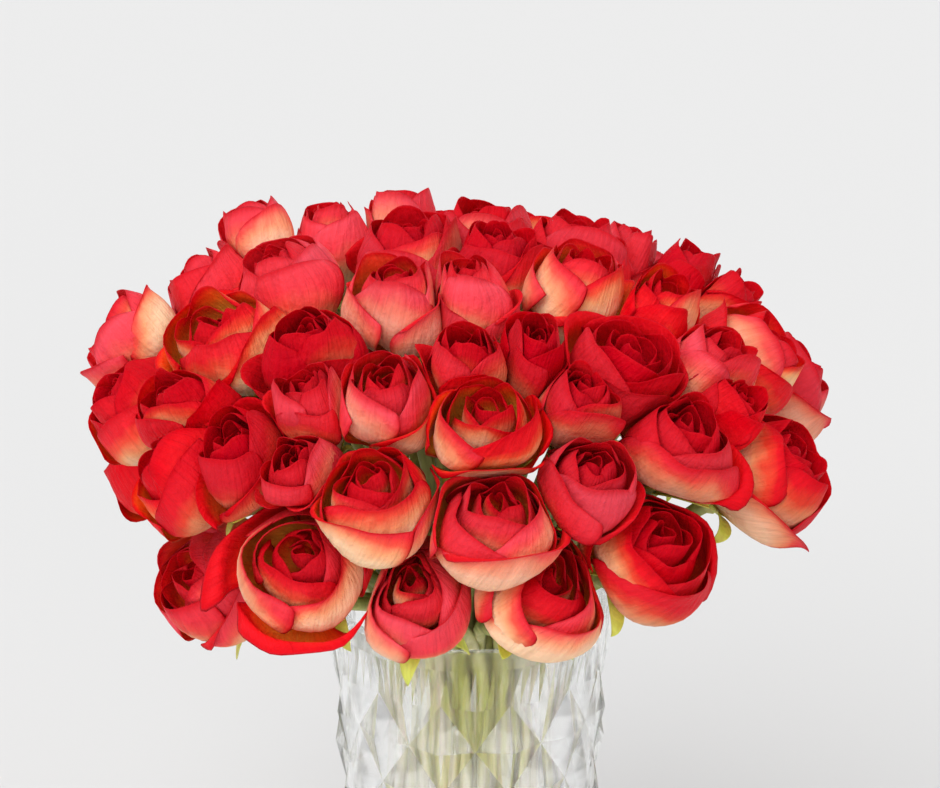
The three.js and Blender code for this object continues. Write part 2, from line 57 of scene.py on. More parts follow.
camera_data = bpy.data.cameras.new("camera")
camera_data.lens = 105  # with this sensor, VIEW_FOCAL in pixels
camera_data.sensor_width = 36
camera_data.clip_end = 50
camera = bpy.data.objects.new("camera", camera_data)
camera.location = Vector(eye) / 1000
camera.rotation_euler = (math.radians(90) - VIEW_FALL, 0, 0)
scene.collection.objects.link(camera)
scene.camera = camera

# --- Where the roses are ---
# Each rose stands on a stem of its own, and the heads together make a dome over the vase. The dome, the rows
# and the rules are the solids' own.
# A row is the heart's pixel across and down, radius, how far open, nod and swing in degrees, and then how
# pale, how pink and how deep its petals are, each from 0 to 1.
SEEN = (
    (241, 204, 19, 0.2, 0, 0, 0.3, 0.6, 0.1),
    (390, 187, 20, 0.5, 0, 0, 0.7, 0.6, 0.0),
    (325, 201, 22, 0.4, 0, 0, 0.4, 0.6, 0.0),
    (262, 252, 22, 0.3, 0, 0, 0.3, 0.8, 0.1),
    (500, 222, 23, 0.6, 0, 0, 0.1, 0.3, 0.8),
    (592, 250, 22, 0.5, 0, 0, 0.8, 0.3, 0.1),
    (708, 250, 20, 0.5, 0, 0, 0.0, 0.2, 0.9),
    (678, 282, 18, 0.3, 0, 0, 0.5, 0.0, 0.0),
    (757, 281, 19, 0.4, 5, 0, 0.2, 0.1, 0.6),
    (398, 262, 21, 0.4, 0, 0, 0.7, 0.8, 0.2),
    (465, 256, 19, 0.1, 0, 0, 0.6, 0.7, 0.0),
    (178, 265, 23, 0.5, 8, 0, 0.3, 0.5, 0.2),
    (94, 323, 21, 0.5, 10, 0, 0.6, 0.5, 0.1),
    (203, 312, 24, 0.6, 0, 15, 0.9, 0.0, 0.2),
    (98, 384, 20, 0.4, 4, 0, 0.5, 0.2, 0.5),
    (643, 338, 25, 1.0, 0, 0, 0.1, 0.2, 0.6),
    (738, 340, 20, 0.3, 0, 0, 0.4, 0.6, 0.1),
    (795, 338, 20, 0.4, 10, 0, 0.6, 0.3, 0.1),
    (475, 335, 20, 0.4, 0, 0, 0.3, 0.3, 0.5),
    (540, 328, 18, 0.3, 0, 0, 0.0, 0.2, 0.9),
    (300, 322, 20, 0.3, 0, 0, 0.1, 0.3, 0.8),
    (303, 372, 19, 0.3, 0, 0, 0.4, 0.6, 0.4),
    (382, 366, 22, 0.3, 0, 0, 0.6, 0.5, 0.1),
    (490, 392, 24, 0.8, 0, 0, 0.9, 0.1, 0.2),
    (592, 372, 20, 0.4, 0, 0, 0.4, 0.4, 0.7),
    (697, 410, 24, 0.5, 0, 0, 0.3, 0.4, 0.5),
    (755, 385, 19, 0.3, 0, 0, 0.4, 0.0, 0.3),
    (158, 384, 20, 0.3, 0, 0, 0.3, 0.0, 0.4),
    (222, 428, 20, 0.4, 0, 0, 0.1, 0.1, 0.7),
    (140, 456, 22, 0.3, 20, -20, 0.6, 0.1, 0.3),
    (288, 446, 20, 0.3, 4, 0, 0.3, 0.6, 0.2),
    (368, 463, 24, 0.6, -4, 0, 0.8, 0.3, 0.2),
    (500, 488, 24, 0.6, -4, 0, 0.6, 0.6, 0.2),
    (600, 452, 22, 0.3, 0, 0, 0.3, 0.8, 0.4),
    (811, 444, 24, 0.5, 4, 10, 0.3, 0.1, 0.5),
    (675, 527, 25, 0.6, 7, 8, 0.3, 0.0, 0.4),
    (174, 572, 22, 0.3, 3, 0, 0.5, 0.7, 0.2),
    (302, 543, 26, 0.5, 6, 14, 0.5, 0.4, 0.2),
    (410, 573, 21, 0.5, 4, 0, 0.7, 0.6, 0.1),
    (563, 565, 24, 0.7, 5, 16, 0.7, 0.4, 0.1),
)
BEHIND = (
    (550, 213, 20, 0.5, 0, 0, 0.2, 0.2, 0.6),
    (648, 225, 18, 0.4, 0, 0, 0.3, 0.6, 0.4),
)
DOME_CENTRE = np.array([-4, 0, VASE_HEIGHT + 77])
DOME_SIZE = np.array([147.0, 124.0, 82.0])
STEMS_MEET = np.array([-4, 0, VASE_HEIGHT - 8])
RAISED = np.array([0, 0, 3])  # the hearts are set a little higher than their pixels say
FRONT_RISE = math.radians(27)
ROSE_HEIGHT = 46.0
FULLNESS = 1.15  # of a rose's radius to the one in its row


def on_dome(across, down, far_side):
    sight = forward - upward * (down - VIEW_MIDDLE[1]) / VIEW_FOCAL
    sight = sight + np.array([(across - VIEW_MIDDLE[0]) / VIEW_FOCAL, 0, 0])
    start = (eye + RAISED - DOME_CENTRE) / DOME_SIZE
    step = sight / DOME_SIZE
    a, b, c = step @ step, start @ step, start @ start - 1
    root = math.sqrt(max(b * b - a * c, 0))
    return eye + RAISED + sight * (-b + (root if far_side else -root)) / a


def make_rose(heart, radius, opened, nod, swing, pale, pink, deep):
    out = heart - STEMS_MEET
    rise = FRONT_RISE * abs(out[1]) / np.linalg.norm(out)
    lift = math.atan2(out[2], math.hypot(out[0], out[1])) + rise - math.radians(nod)
    turn = math.atan2(out[0], -out[1]) + math.radians(swing)
    level = math.cos(lift)
    axis = np.array([level * math.sin(turn), -level * math.cos(turn), math.sin(lift)])
    base = heart - ROSE_HEIGHT * axis
    side = np.array([-axis[1], axis[0], 0])
    side = side / np.linalg.norm(side) if np.linalg.norm(side) > 0.05 else np.array([1.0, 0, 0])
    return {"heart": heart, "axis": axis, "base": base, "site": base + 0.5 * ROSE_HEIGHT * axis,
            "side": side, "over": np.cross(axis, side), "radius": radius * FULLNESS, "open": opened,
            "mood": (pale, pink, deep), "group": None}


front = [make_rose(on_dome(across, down, False), *shape) for across, down, *shape in SEEN]
front += [make_rose(on_dome(across, down, True), *shape) for across, down, *shape in BEHIND]

# The back is filled along a spiral from the top of the dome down, wherever there is room.
BACK_ROOM = 35.0
BACK_EDGE = -12.0
BACK_LOWEST, SIDE_LOWEST = math.radians(-16), math.radians(4)
SIDE_END = 30.0
BACK_STEPS = 1400
BACK_RADIUS, BACK_OPEN = 24, 0.45
GOLDEN_TURN = math.radians(137.508)
chance = random.Random(11)
back = []
for step in range(BACK_STEPS):
    height = 1 - 2 * (step + 0.5) / BACK_STEPS
    width = math.sqrt(1 - height * height)
    turn = step * GOLDEN_TURN
    heart = np.array([width * math.sin(turn), -width * math.cos(turn), height]) * DOME_SIZE + DOME_CENTRE
    roomy = all(np.linalg.norm(rose["heart"] - heart) > BACK_ROOM for rose in front + back)
    lowest = BACK_LOWEST if heart[1] > SIDE_END else SIDE_LOWEST
    if roomy and heart[1] > BACK_EDGE and math.asin(height) > lowest:
        mood = (chance.uniform(0, 0.8), chance.uniform(0, 0.8), chance.uniform(0, 0.8) ** 1.5)
        back.append(make_rose(heart, BACK_RADIUS, BACK_OPEN, 0, 0, *mood))

# They are joined by threes, rather side by side than one above the other.
GROUP_OF = 3
JOIN_ROOM = 56.0
SIDE_BY_SIDE = 1.6
groups = []
free = list(back)


def apart(one, other):
    away = one["heart"] - other["heart"]
    return math.hypot(away[0], away[1], SIDE_BY_SIDE * away[2])


while free:
    pool = list(free)
    free.sort(key=lambda rose: sum(
        1 for other in pool if other is not rose and apart(rose, other) < JOIN_ROOM))
    group = [free.pop(0)]
    while len(group) < GROUP_OF:
        free.sort(key=lambda rose: min(apart(member, rose) for member in group))
        if not free or min(apart(member, free[0]) for member in group) > JOIN_ROOM:
            break
        group.append(free.pop(0))
    for rose in group:
        rose["group"] = len(groups)
    groups.append(group)

# Crowded roses press each other flat: a wall stands half-way to each neighbour, and one over the rim. Thin
# petals may reach a little past the walls to their neighbours.
NEIGHBOUR_REACH = 120
PAST_WALL, PAST_JOINED_WALL = 1, 3
RIM_GAP = 3
roses = front + back
for rose in roses:
    normals, distances = [], []
    for other in roses:
        gap = np.linalg.norm(other["site"] - rose["site"])
        if other is not rose and gap < NEIGHBOUR_REACH:
            joined = rose["group"] is not None and rose["group"] == other["group"]
            half = (gap * gap + rose["radius"] ** 2 - other["radius"] ** 2) / (2 * gap)
            normals.append((other["site"] - rose["site"]) / gap)
            distances.append(half + (PAST_JOINED_WALL if joined else PAST_WALL))
    normals.append(np.array([0, 0, -1]))
    distances.append(rose["site"][2] - VASE_HEIGHT - RIM_GAP)
    rose["normals"], rose["distances"] = np.array(normals), np.array(distances)


# A point keeps its place up to a share of its way to the wall, and from there on it gives.
SIDES_GIVE_FROM, ALL_GIVES_FROM = 0.8, 0.93
WIDEST, LEAST_ROOM = 1.12, 0.5


def give(share, start):
    return np.where(share < start, share, 1 - (1 - start) * np.exp(-(share - start) / (1 - start)))


def press(rose, points):
    offset = points - rose["site"]
    along = offset @ rose["axis"]
    across = offset - np.outer(along, rose["axis"])
    length = np.maximum(np.linalg.norm(across, axis=1), 1e-6)
    reach = across * (WIDEST * rose["radius"] / length)[:, None]
    tilt = rose["normals"] @ rose["axis"]
    room = np.maximum(rose["distances"] - np.outer(along, tilt), LEAST_ROOM * rose["distances"])
    share = np.maximum(np.max(reach @ rose["normals"].T / room, axis=1), 1e-6)
    pressed = across * (give(share, SIDES_GIVE_FROM) / share)[:, None]
    pressed = pressed + np.outer(along, rose["axis"])
    share = np.maximum(np.max(pressed @ rose["normals"].T / rose["distances"], axis=1), 1e-6)
    return pressed * (give(share, ALL_GIVES_FROM) / share)[:, None] + rose["site"]


def in_place(rose, x, y, z):
    return rose["base"] + np.outer(x, rose["side"]) + np.outer(y, rose["over"]) + np.outer(z, rose["axis"])


# --- Petal cloth ---
# The petals are cut from dyed cloth. Veins and creases are pressed into it, and its rims are darker. This
# surface lies over the colours of either side.
cloth = bpy.data.node_groups.new("petal_cloth", "ShaderNodeTree")
for name in ("Colour", "Rim"):
    cloth.interface.new_socket(name, in_out="INPUT", socket_type="NodeSocketColor")
for name, kind in (("Colour", "NodeSocketColor"), ("Normal", "NodeSocketVector")):
    cloth.interface.new_socket(name, in_out="OUTPUT", socket_type=kind)
nodes, links = cloth.nodes, cloth.links
enter = nodes.new("NodeGroupInput")
leave = nodes.new("NodeGroupOutput")
uv = nodes.new("ShaderNodeUVMap")
uv.uv_map = "UVMap"
place = nodes.new("ShaderNodeTexCoord")

# Veins fan out up the petal, and the cloth is creased across them.
stretch = nodes.new("ShaderNodeVectorMath")
stretch.operation = "MULTIPLY"
stretch.inputs[1].default_value = (26, 2.2, 1)
links.new(uv.outputs["UV"], stretch.inputs[0])
shift = nodes.new("ShaderNodeVectorMath")
shift.operation = "ADD"
links.new(stretch.outputs[0], shift.inputs[0])
spread = nodes.new("ShaderNodeVectorMath")
spread.operation = "SCALE"
spread.inputs["Scale"].default_value = 14
links.new(place.outputs["Object"], spread.inputs[0])
links.new(spread.outputs[0], shift.inputs[1])
veins = nodes.new("ShaderNodeTexNoise")
veins.inputs["Scale"].default_value = 1
veins.inputs["Detail"].default_value = 3
veins.inputs["Distortion"].default_value = 0.4
links.new(shift.outputs[0], veins.inputs["Vector"])
vein_tone = nodes.new("ShaderNodeMapRange")
vein_tone.inputs["From Min"].default_value = 0.3
vein_tone.inputs["From Max"].default_value = 0.7
vein_tone.inputs["To Min"].default_value = 0.88
vein_tone.inputs["To Max"].default_value = 1.1
links.new(veins.outputs["Fac"], vein_tone.inputs["Value"])
veined = nodes.new("ShaderNodeMixRGB")
veined.blend_type = "MULTIPLY"
veined.inputs["Fac"].default_value = 1
links.new(enter.outputs["Colour"], veined.inputs["Color1"])
links.new(vein_tone.outputs["Result"], veined.inputs["Color2"])

# The rim is darker in a thin line along the lip and both edges.
split = nodes.new("ShaderNodeSeparateXYZ")
links.new(uv.outputs["UV"], split.inputs[0])
centred = nodes.new("ShaderNodeMath")
centred.operation = "MULTIPLY_ADD"
centred.inputs[1].default_value = 2
centred.inputs[2].default_value = -1
links.new(split.outputs["X"], centred.inputs[0])
edge = nodes.new("ShaderNodeMath")
edge.operation = "ABSOLUTE"
links.new(centred.outputs[0], edge.inputs[0])
nearest = nodes.new("ShaderNodeMath")
nearest.operation = "MAXIMUM"
links.new(edge.outputs[0], nearest.inputs[0])
links.new(split.outputs["Y"], nearest.inputs[1])
rim = nodes.new("ShaderNodeMapRange")
rim.interpolation_type = "SMOOTHSTEP"
rim.inputs["From Min"].default_value = 0.86
rim.inputs["From Max"].default_value = 1
rim.inputs["To Max"].default_value = 0.8
links.new(nearest.outputs[0], rim.inputs["Value"])
rimmed = nodes.new("ShaderNodeMixRGB")
links.new(rim.outputs["Result"], rimmed.inputs["Fac"])
links.new(veined.outputs[0], rimmed.inputs["Color1"])
links.new(enter.outputs["Rim"], rimmed.inputs["Color2"])
links.new(rimmed.outputs[0], leave.inputs["Colour"])

creases = nodes.new("ShaderNodeTexNoise")
creases.inputs["Scale"].default_value = 170
creases.inputs["Detail"].default_value = 4
creases.inputs["Roughness"].default_value = 0.6
links.new(place.outputs["Object"], creases.inputs["Vector"])
relief = nodes.new("ShaderNodeMath")
relief.operation = "MULTIPLY_ADD"
relief.inputs[1].default_value = 0.6
links.new(veins.outputs["Fac"], relief.inputs[0])
links.new(creases.outputs["Fac"], relief.inputs[2])
bump = nodes.new("ShaderNodeBump")
bump.inputs["Strength"].default_value = 0.7
bump.inputs["Distance"].default_value = 0.002
links.new(relief.outputs[0], bump.inputs["Height"])
links.new(bump.outputs[0], leave.inputs["Normal"])


# A petal's colour runs from its foot to its lip. Pale petals keep the cream further up, pink ones turn
# rosy and deep ones crimson.
def petal_material(name, stops, rim_colour, rosy, crimson):
    material = bpy.data.materials.new(name)
    material.use_nodes = True
    nodes, links = material.node_tree.nodes, material.node_tree.links
    shader = nodes["Principled BSDF"]
    shader.inputs["Roughness"].default_value = 0.56
    shader.inputs["Specular IOR Level"].default_value = 0.06
    shader.inputs["Subsurface Weight"].default_value = 0.15
    shader.inputs["Subsurface Scale"].default_value = 0.003
    uv = nodes.new("ShaderNodeUVMap")
    uv.uv_map = "UVMap"
    split = nodes.new("ShaderNodeSeparateXYZ")
    links.new(uv.outputs["UV"], split.inputs[0])
    mood = nodes.new("ShaderNodeAttribute")
    mood.attribute_name = "mood"
    tones = nodes.new("ShaderNodeSeparateColor")
    links.new(mood.outputs["Color"], tones.inputs[0])
    place = nodes.new("ShaderNodeTexCoord")
    clouds = nodes.new("ShaderNodeTexNoise")
    clouds.inputs["Scale"].default_value = 65
    clouds.inputs["Detail"].default_value = 2
    links.new(place.outputs["Object"], clouds.inputs["Vector"])
    uneven = nodes.new("ShaderNodeMath")
    uneven.operation = "MULTIPLY_ADD"
    uneven.inputs[1].default_value = 0.4
    links.new(clouds.outputs["Fac"], uneven.inputs[0])
    links.new(split.outputs["Y"], uneven.inputs[2])
    off_middle = nodes.new("ShaderNodeMath")
    off_middle.operation = "SUBTRACT"
    off_middle.inputs[1].default_value = 0.5
    links.new(split.outputs["X"], off_middle.inputs[0])
    squared = nodes.new("ShaderNodeMath")
    squared.operation = "MULTIPLY"
    links.new(off_middle.outputs[0], squared.inputs[0])
    links.new(off_middle.outputs[0], squared.inputs[1])
    redder_sides = nodes.new("ShaderNodeMath")
    redder_sides.operation = "MULTIPLY_ADD"
    redder_sides.inputs[1].default_value = 1.3
    links.new(squared.outputs[0], redder_sides.inputs[0])
    links.new(uneven.outputs[0], redder_sides.inputs[2])
    paler = nodes.new("ShaderNodeMath")
    paler.operation = "MULTIPLY_ADD"
    paler.inputs[1].default_value = -0.5
    links.new(tones.outputs["Red"], paler.inputs[0])
    links.new(redder_sides.outputs[0], paler.inputs[2])
    ramp = nodes.new("ShaderNodeValToRGB")
    while len(ramp.color_ramp.elements) < len(stops):
        ramp.color_ramp.elements.new(0.5)
    for element, (position, colour) in zip(ramp.color_ramp.elements, stops):
        element.position = position
        element.color = (*colour, 1)
    links.new(paler.outputs[0], ramp.inputs["Fac"])
    pinker = nodes.new("ShaderNodeMixRGB")
    pinker.inputs["Color2"].default_value = (*rosy, 1)
    pink_share = nodes.new("ShaderNodeMath")
    pink_share.operation = "MULTIPLY"
    links.new(split.outputs["Y"], pink_share.inputs[1])
    links.new(tones.outputs["Green"], pink_share.inputs[0])
    links.new(pink_share.outputs[0], pinker.inputs["Fac"])
    links.new(ramp.outputs["Color"], pinker.inputs["Color1"])
    deeper = nodes.new("ShaderNodeMixRGB")
    deeper.inputs["Color2"].default_value = (*crimson, 1)
    deep_share = nodes.new("ShaderNodeMath")
    deep_share.operation = "MULTIPLY"
    deep_share.inputs[1].default_value = 0.85
    links.new(tones.outputs["Blue"], deep_share.inputs[0])
    links.new(deep_share.outputs[0], deeper.inputs["Fac"])
    links.new(pinker.outputs[0], deeper.inputs["Color1"])
    surface = nodes.new("ShaderNodeGroup")
    surface.node_tree = cloth
    surface.inputs["Rim"].default_value = (*rim_colour, 1)
    links.new(deeper.outputs[0], surface.inputs["Colour"])
    links.new(surface.outputs["Colour"], shader.inputs["Base Color"])
    links.new(surface.outputs["Normal"], shader.inputs["Normal"])
    return material


petal_outside = petal_material(
    "petal_outside",
    ((0.34, (1.0, 0.74, 0.44)), (0.5, (0.99, 0.44, 0.19)), (0.62, (0.96, 0.1, 0.04)),
     (0.75, (0.9, 0.012, 0.018)), (1.0, (0.78, 0.001, 0.008))),
    (0.55, 0.001, 0.008), (0.93, 0.11, 0.155), (0.5, 0.0, 0.01))
petal_inside = petal_material(
    "petal_inside",
    ((0.25, (0.98, 0.44, 0.05)), (0.48, (0.97, 0.15, 0.012)), (0.7, (0.93, 0.015, 0.008)),
     (1.0, (0.8, 0.002, 0.008))),
    (0.62, 0.001, 0.006), (0.88, 0.03, 0.045), (0.54, 0.001, 0.01))

# --- Roses ---
# A rose is thin cupped petals of cloth, fixed in rounds one inside the other, from the loose outer ones to
# the rolled heart. It sits on the swelling at its stem's end.
# Each round holds its number of petals, half a petal's turn in degrees, the radius of its belly and of its
# lip, the height of its foot and of its lip, how far the lip rolls out, how pointed it is, and how much of
# the rose's opening it follows. Radii and heights are shares of the rose's own.
ROUNDS = (
    (3, 72, 1.00, 0.66, 0.00, 0.92, 0.15, 0.03, 0.8),
    (3, 78, 0.90, 0.52, 0.03, 0.98, 0.10, 0.02, 0.6),
    (3, 80, 0.66, 0.40, 0.25, 0.97, 0.05, 0.01, 0.4),
    (3, 84, 0.44, 0.26, 0.40, 0.92, 0.03, 0.00, 0.25),
    (2, 130, 0.24, 0.13, 0.50, 0.88, 0.02, 0.00, 0.1),
)
ROUND_TURN = 0.9  # radians from one round to the next
PETAL_SLANT = (0.3, 0.8)  # radians that a petal leans round the rose from its foot to its lip
BELLY_AT = 0.5  # of a petal's length; the bend to its lip and the lip's roll begin as far up as these
LIP_BEGINS, LIP_LENGTH = 0.45, 0.55
ROLL_BEGINS, ROLL_LENGTH = 0.78, 0.22
CORNERS_FALL = 0.17
LONG_WAVE, SHORT_WAVE = 0.04, 0.024
LOOSE = 0.4  # of the outer petals hang open
LOOSE_REACH, LOOSE_FALL, LOOSE_NARROWER = 0.4, 0.22, 0.3
CALM_FROM, CALM_TO = 30, 50  # how high over the rim roses begin to have them, and have them in full
WIDTH_PLACES, WIDTH_SHARES = (0, 0.3, 0.65, 1), (0.45, 0.85, 1, 0.86)
PETAL_FULLNESS = 1.08
PETAL_THICKNESS = 0.4
PALE_SPREAD, PINK_SPREAD, DEEP_SPREAD = (-0.55, 0.6), (-0.35, 0.25), (-0.3, 0.2)
PALER_OUTSIDE, REDDER_INSIDE = 0.08, -0.35
LESS_PINK_INWARD, DEEPER_INWARD = 0.6, 0.2
CRUMPLE_SCALE = 0.11
CRUMPLE_AT_FOOT, CRUMPLE_AT_LIP = 0.3, 1.7


def add_petals(mesh, rose, luck):
    mood_layer = mesh.verts.layers.float_color["mood"]
    start = luck.uniform(0, 2 * math.pi)
    calm = min(max((rose["heart"][2] - VASE_HEIGHT - CALM_FROM) / (CALM_TO - CALM_FROM), 0), 1)
    for k, (count, half, belly, mouth, foot, lip, roll, tip, follows) in enumerate(ROUNDS):
        for petal in range(count):
            grid = bmesh.ops.create_grid(mesh, x_segments=7, y_segments=7, size=1, calc_uvs=True)["verts"]
            flat = np.array([vert.co[:] for vert in grid])
            u, v = flat[:, 0], (flat[:, 1] + 1) / 2
            spread = rose["open"] * follows
            loose = luck.uniform(0.4, 1) * calm if k == 0 and luck.random() < LOOSE else 0
            lip_radius = mouth * luck.uniform(0.9, 1.1) + 0.45 * (spread - 0.35 * follows)
            lip_radius += LOOSE_REACH * loose
            lip_height = lip * luck.uniform(0.94, 1.03) - 0.12 * spread - LOOSE_FALL * loose
            slant = luck.uniform(*PETAL_SLANT)
            out_roll = roll * luck.uniform(0.5, 1.5)
            fold, fold_side = luck.uniform(-0.12, 0.28) * (1 - 0.2 * k), luck.choice((-1, 1))
            place = petal + luck.uniform(-0.12, 0.12)
            middle = start + k * ROUND_TURN + place * 2 * math.pi / count
            width = math.radians(half) * (1 - LOOSE_NARROWER * loose)
            turn = middle + width * u * np.interp(v, WIDTH_PLACES, WIDTH_SHARES)
            turn = turn + slant * (v - 0.5)

            # The petal swells to its belly, goes in or out to its lip, and rolls or folds over there.
            rise = np.sin(np.minimum(v / BELLY_AT, 1) * math.pi / 2)
            near_lip = np.clip((v - LIP_BEGINS) / LIP_LENGTH, 0, 1) ** 1.8
            rolled = np.clip((v - ROLL_BEGINS) / ROLL_LENGTH, 0, 1) ** 2
            corner = np.clip(u * fold_side, 0, 1) ** 3 * v ** 4
            radius = 0.1 + (belly - 0.1) * rise + (lip_radius - belly) * near_lip + 0.05 * u
            radius += out_roll * rolled * (1 - 0.3 * np.abs(u)) + max(fold, 0) * corner
            wave = LONG_WAVE * np.sin(4 * u + luck.uniform(0, 6))
            wave = wave + SHORT_WAVE * np.sin(9 * u + luck.uniform(0, 6))
            radius += wave * v ** 3
            height = foot + (lip_height - foot) * v ** 0.9 - CORNERS_FALL * np.abs(u) ** 3 * v ** 3
            height += tip * (1 - np.abs(u)) ** 2 * v ** 4
            height -= 0.5 * (out_roll * rolled + max(fold, 0) * corner)
            height += (0.02 * np.sin(3.2 * u + luck.uniform(0, 6)) + 0.01 * np.sin(8 * u)) * v ** 3
            radius = np.maximum(radius, 0.04) * PETAL_FULLNESS * rose["radius"]
            x, y = radius * np.cos(turn), radius * np.sin(turn)
            placed = press(rose, in_place(rose, x, y, height * ROSE_HEIGHT))

            # No two petals have quite the same tone, and the inner ones are redder.
            pale, pink, deep = rose["mood"]
            inner = max(k - 1, 0)
            tone = (pale + luck.uniform(*PALE_SPREAD) + (PALER_OUTSIDE if k < 2 else REDDER_INSIDE),
                    (pink + luck.uniform(*PINK_SPREAD)) * LESS_PINK_INWARD ** inner,
                    deep + luck.uniform(*DEEP_SPREAD) + DEEPER_INWARD * inner, 1)
            tone = [min(max(part, 0), 1) for part in tone]
            for vert, spot, fine in zip(grid, placed, v):
                amount = CRUMPLE_AT_FOOT + (CRUMPLE_AT_LIP - CRUMPLE_AT_FOOT) * fine
                crumple = noise.noise_vector(Vector(spot) * CRUMPLE_SCALE) * amount
                vert.co = (Vector(spot) + crumple) / 1000
                vert[mood_layer] = tone


def build_roses(name, members, luck):
    mesh = bmesh.new()
    mesh.loops.layers.uv.new("UVMap")
    mesh.verts.layers.float_color.new("mood")
    for rose in members:
        add_petals(mesh, rose, luck)
    data = bpy.data.meshes.new(name)
    mesh.to_mesh(data)
    mesh.free()
    data.polygons.foreach_set("use_smooth", [True] * len(data.polygons))
    data.materials.append(petal_outside)
    data.materials.append(petal_inside)
    piece = bpy.data.objects.new(name, data)
    scene.collection.objects.link(piece)
    thick = piece.modifiers.new("thickness", "SOLIDIFY")
    thick.thickness = PETAL_THICKNESS / 1000
    thick.offset = -1
    thick.material_offset = 1
    soft = piece.modifiers.new("soft", "SUBSURF")
    soft.levels = soft.render_levels = 1
    return piece


# The crumple's noise is the same each time only when it is given a seed.
CRUMPLE_SEED = 7
noise.seed_set(CRUMPLE_SEED)
for k, rose in enumerate(front):
    node = f"rose_{k + 1:02d}"
    piece = build_roses(f"petals_{k + 1:02d}", [rose], random.Random(100 + k))
    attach(piece, "root")
    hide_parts(node)
for k, group in enumerate(groups):
    node = f"back_roses_{k + 1:02d}"
    piece = build_roses(f"back_petals_{k + 1:02d}", group, random.Random(300 + k))
    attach(piece, "root")
    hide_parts(node)

# --- Green cloth ---
# The stems are wound in matt olive tape, and the sepals are of a brighter yellow-green cloth. All are
# streaked along the stem. Inside the vase the stems are painted paler: painted light, standing in for
# the light that the glass and the roses over it keep from them.
green = bpy.data.materials.new("green_cloth")
green.use_nodes = True
nodes, links = green.node_tree.nodes, green.node_tree.links
shader = nodes["Principled BSDF"]
shader.inputs["Roughness"].default_value = 0.55
shader.inputs["Subsurface Weight"].default_value = 0.1
shader.inputs["Subsurface Scale"].default_value = 0.003
leafy = nodes.new("ShaderNodeAttribute")
leafy.attribute_name = "leafy"
place = nodes.new("ShaderNodeTexCoord")
streak_space = nodes.new("ShaderNodeVectorMath")
streak_space.operation = "MULTIPLY"
streak_space.inputs[1].default_value = (900, 900, 60)
links.new(place.outputs["Object"], streak_space.inputs[0])
streaks = nodes.new("ShaderNodeTexNoise")
streaks.inputs["Scale"].default_value = 1
streaks.inputs["Detail"].default_value = 3
links.new(streak_space.outputs[0], streaks.inputs["Vector"])
patch_space = nodes.new("ShaderNodeVectorMath")
patch_space.operation = "MULTIPLY"
patch_space.inputs[1].default_value = (130, 130, 14)
links.new(place.outputs["Object"], patch_space.inputs[0])
patches = nodes.new("ShaderNodeTexNoise")
patches.inputs["Scale"].default_value = 1
links.new(patch_space.outputs[0], patches.inputs["Vector"])
stem_colour = nodes.new("ShaderNodeValToRGB")
stem_colour.color_ramp.elements[0].position = 0.35
stem_colour.color_ramp.elements[0].color = (0.17, 0.19, 0.035, 1)
stem_colour.color_ramp.elements[1].position = 0.65
stem_colour.color_ramp.elements[1].color = (0.45, 0.45, 0.13, 1)
links.new(patches.outputs["Fac"], stem_colour.inputs["Fac"])
leaf_colour = nodes.new("ShaderNodeValToRGB")
leaf_colour.color_ramp.elements[0].position = 0.3
leaf_colour.color_ramp.elements[0].color = (0.45, 0.52, 0.04, 1)
leaf_colour.color_ramp.elements[1].position = 0.7
leaf_colour.color_ramp.elements[1].color = (0.76, 0.8, 0.14, 1)
links.new(patches.outputs["Fac"], leaf_colour.inputs["Fac"])
which = nodes.new("ShaderNodeMixRGB")
links.new(leafy.outputs["Fac"], which.inputs["Fac"])
links.new(stem_colour.outputs["Color"], which.inputs["Color1"])
links.new(leaf_colour.outputs["Color"], which.inputs["Color2"])
heights = nodes.new("ShaderNodeSeparateXYZ")
links.new(place.outputs["Object"], heights.inputs[0])
# Painted light: below the rim the stems' colour is turned paler, as if more light reached them in the vase.
below_rim = nodes.new("ShaderNodeMapRange")
below_rim.inputs["From Min"].default_value = (VASE_HEIGHT + 9) / 1000
below_rim.inputs["From Max"].default_value = (VASE_HEIGHT - 26) / 1000
links.new(heights.outputs["Z"], below_rim.inputs["Value"])
in_vase_light_colour = nodes.new("ShaderNodeValToRGB")
in_vase_light_colour.color_ramp.elements.new(0.5)
for element, (position, colour) in zip(in_vase_light_colour.color_ramp.elements, (
    (0.38, (0.58, 0.58, 0.14, 1)), (0.5, (0.9, 0.85, 0.46, 1)), (0.62, (0.97, 0.84, 0.7, 1)),
)):
    element.position, element.color = position, colour
links.new(patches.outputs["Fac"], in_vase_light_colour.inputs["Fac"])
lit_in_vase = nodes.new("ShaderNodeMixRGB")
links.new(in_vase_light_colour.outputs["Color"], lit_in_vase.inputs["Color2"])
lit_in_vase_share = nodes.new("ShaderNodeMath")
lit_in_vase_share.operation = "MULTIPLY"
lit_in_vase_share.inputs[1].default_value = 0.9
links.new(below_rim.outputs["Result"], lit_in_vase_share.inputs[0])
links.new(lit_in_vase_share.outputs[0], lit_in_vase.inputs["Fac"])
links.new(which.outputs[0], lit_in_vase.inputs["Color1"])
streak_tone = nodes.new("ShaderNodeMapRange")
streak_tone.inputs["From Min"].default_value = 0.3
streak_tone.inputs["From Max"].default_value = 0.7
streak_tone.inputs["To Min"].default_value = 0.88
streak_tone.inputs["To Max"].default_value = 1.1
links.new(streaks.outputs["Fac"], streak_tone.inputs["Value"])
streaked = nodes.new("ShaderNodeMixRGB")
streaked.blend_type = "MULTIPLY"
streaked.inputs["Fac"].default_value = 1
links.new(lit_in_vase.outputs[0], streaked.inputs["Color1"])
links.new(streak_tone.outputs["Result"], streaked.inputs["Color2"])
links.new(streaked.outputs[0], shader.inputs["Base Color"])
